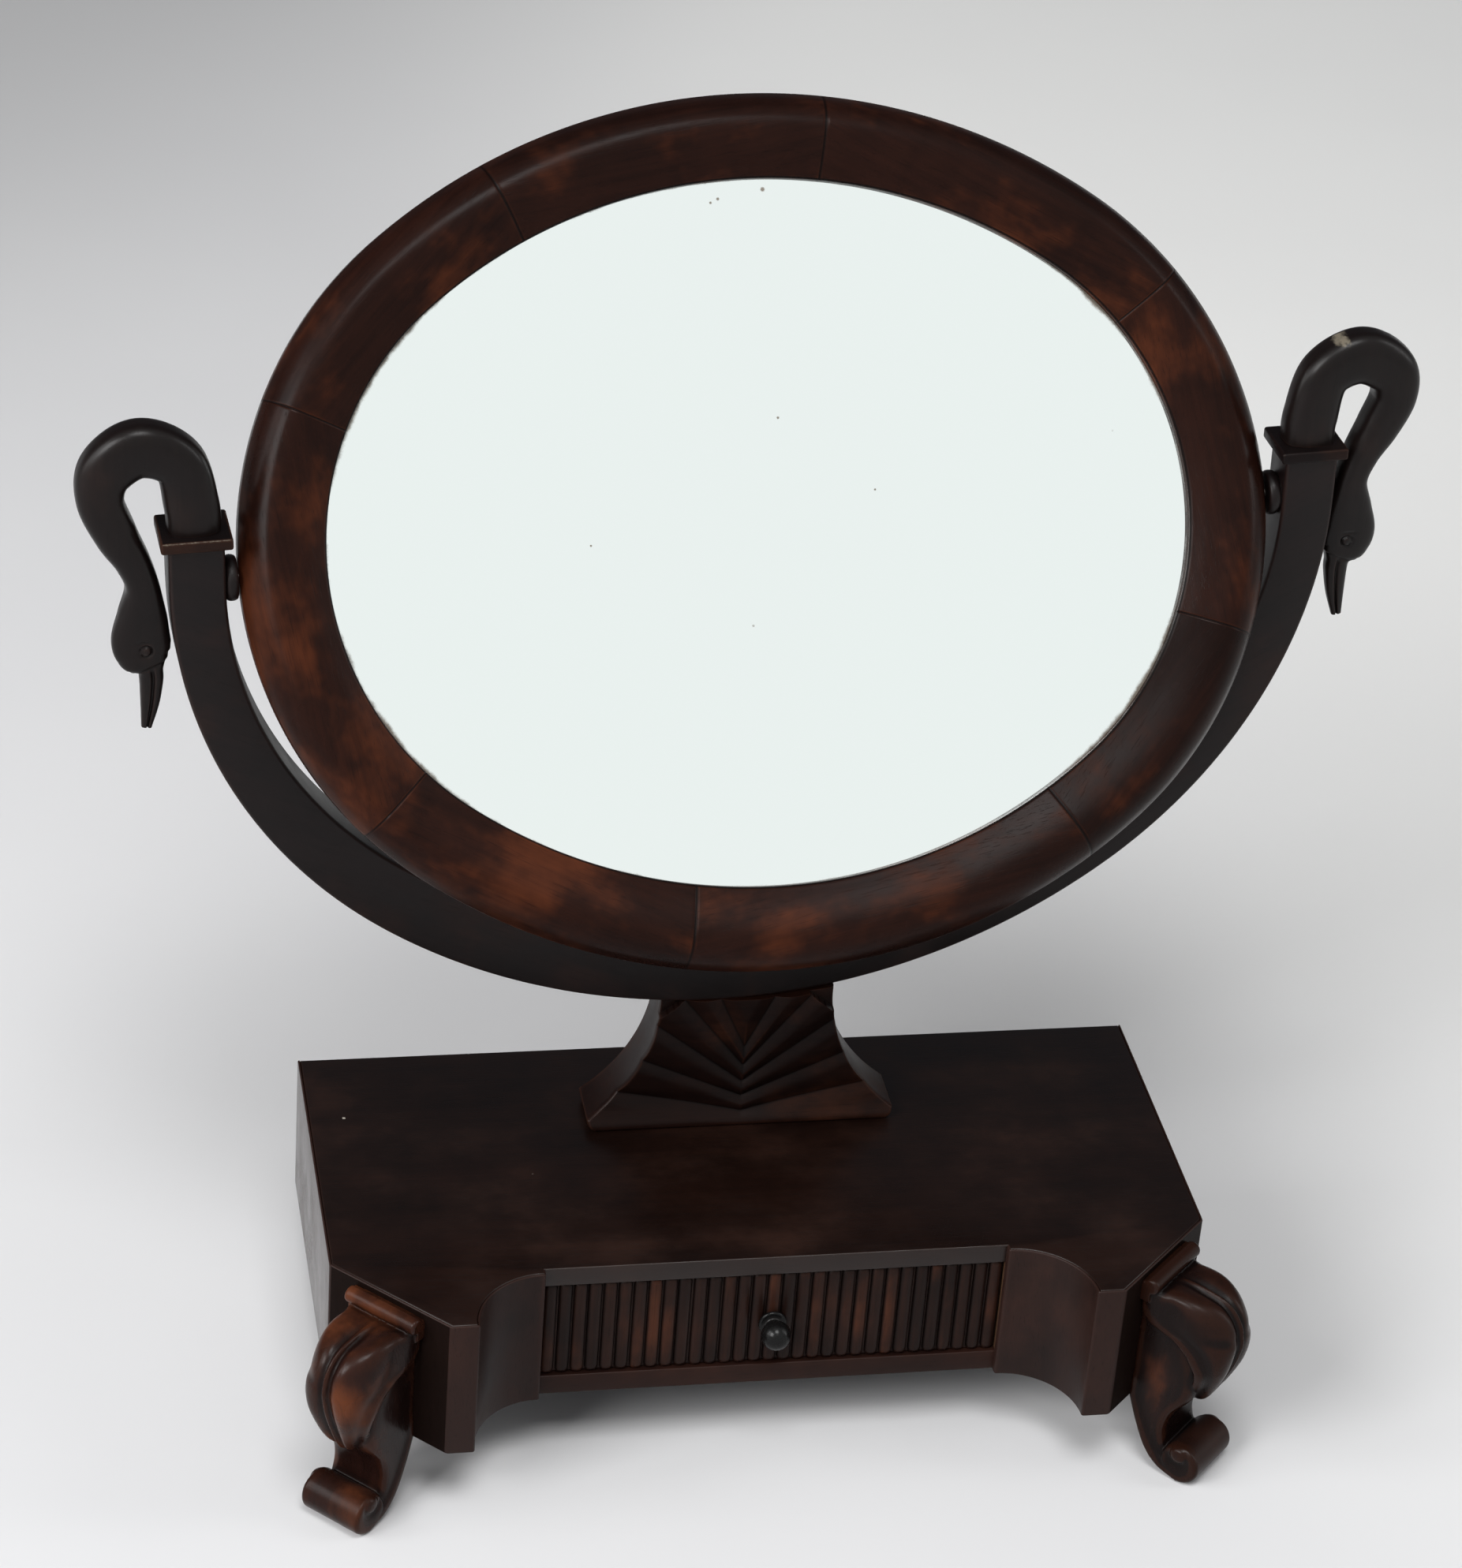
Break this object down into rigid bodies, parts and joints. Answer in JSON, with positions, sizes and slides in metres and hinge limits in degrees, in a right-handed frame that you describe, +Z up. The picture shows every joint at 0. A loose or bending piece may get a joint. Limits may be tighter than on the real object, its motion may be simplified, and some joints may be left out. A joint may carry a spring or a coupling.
{
  "type": "swing toilet mirror",
  "caption": "Oval swing mirror hung in a crescent yoke with swan finials, on a fan-carved pedestal and a low case with a reeded drawer and leaf-kneed scroll feet",
  "frame": {"origin": "on the floor, under the middle of the bounding box of the object at rest", "axes": "+X to the viewer's right, +Y to the back, +Z up; the drawer faces -Y"},
  "size_m": [0.6178, 0.2812, 0.6087],
  "materials": {
    "mahogany": "gloss",
    "secondary_wood": "matte",
    "ebonised_wood": "gloss",
    "silvered_glass": "gloss",
    "steel": "satin"
  },
  "bodies": {
    "base": {"case_top": "mahogany", "case_bottom": "mahogany", "corner_block_right": "mahogany", "cove_right": "mahogany", "case_side_right": "mahogany", "drawer_guide_right": "secondary_wood", "rear_foot_right": "secondary_wood", "case_back": "secondary_wood", "front_foot_right": "mahogany", "foot_tenon_right": "secondary_wood", "corner_block_left": "mahogany", "cove_left": "mahogany", "case_side_left": "mahogany", "drawer_guide_left": "secondary_wood", "rear_foot_left": "secondary_wood", "front_foot_left": "mahogany", "foot_tenon_left": "secondary_wood", "drawer_stops": "secondary_wood", "yoke_arm_right": "mahogany", "yoke_arm_left": "mahogany", "collar_right": "mahogany", "collar_left": "mahogany", "swan_right": "mahogany", "swan_left": "mahogany", "swan_tenon_right": "secondary_wood", "swan_tenon_left": "secondary_wood", "pivot_pins": "steel", "pivot_bosses": "mahogany", "yoke_tenon": "secondary_wood", "pedestal": "mahogany"},
    "mirror": {"oval_frame": "mahogany", "mirror_glass": "silvered_glass", "back_board": "secondary_wood", "back_wedges": "secondary_wood"},
    "drawer": {"drawer_front": "mahogany", "drawer_reeds": "mahogany", "drawer_knob": "ebonised_wood", "drawer_side_left": "secondary_wood", "drawer_side_right": "secondary_wood", "drawer_back": "secondary_wood", "drawer_floor": "secondary_wood"}
  },
  "joints": [
    {"name": "mirror_tilt", "type": "hinge", "parent": "base", "child": "mirror", "pos_m": [0.00201, 0.03564, 0.43382], "axis": [0.998, 0.0506, 0.0384], "continuous": true},
    {"name": "drawer_slide", "type": "slide", "parent": "base", "child": "drawer", "axis": [0, -1, 0], "range_m": [0, 0.12]}
  ]
}
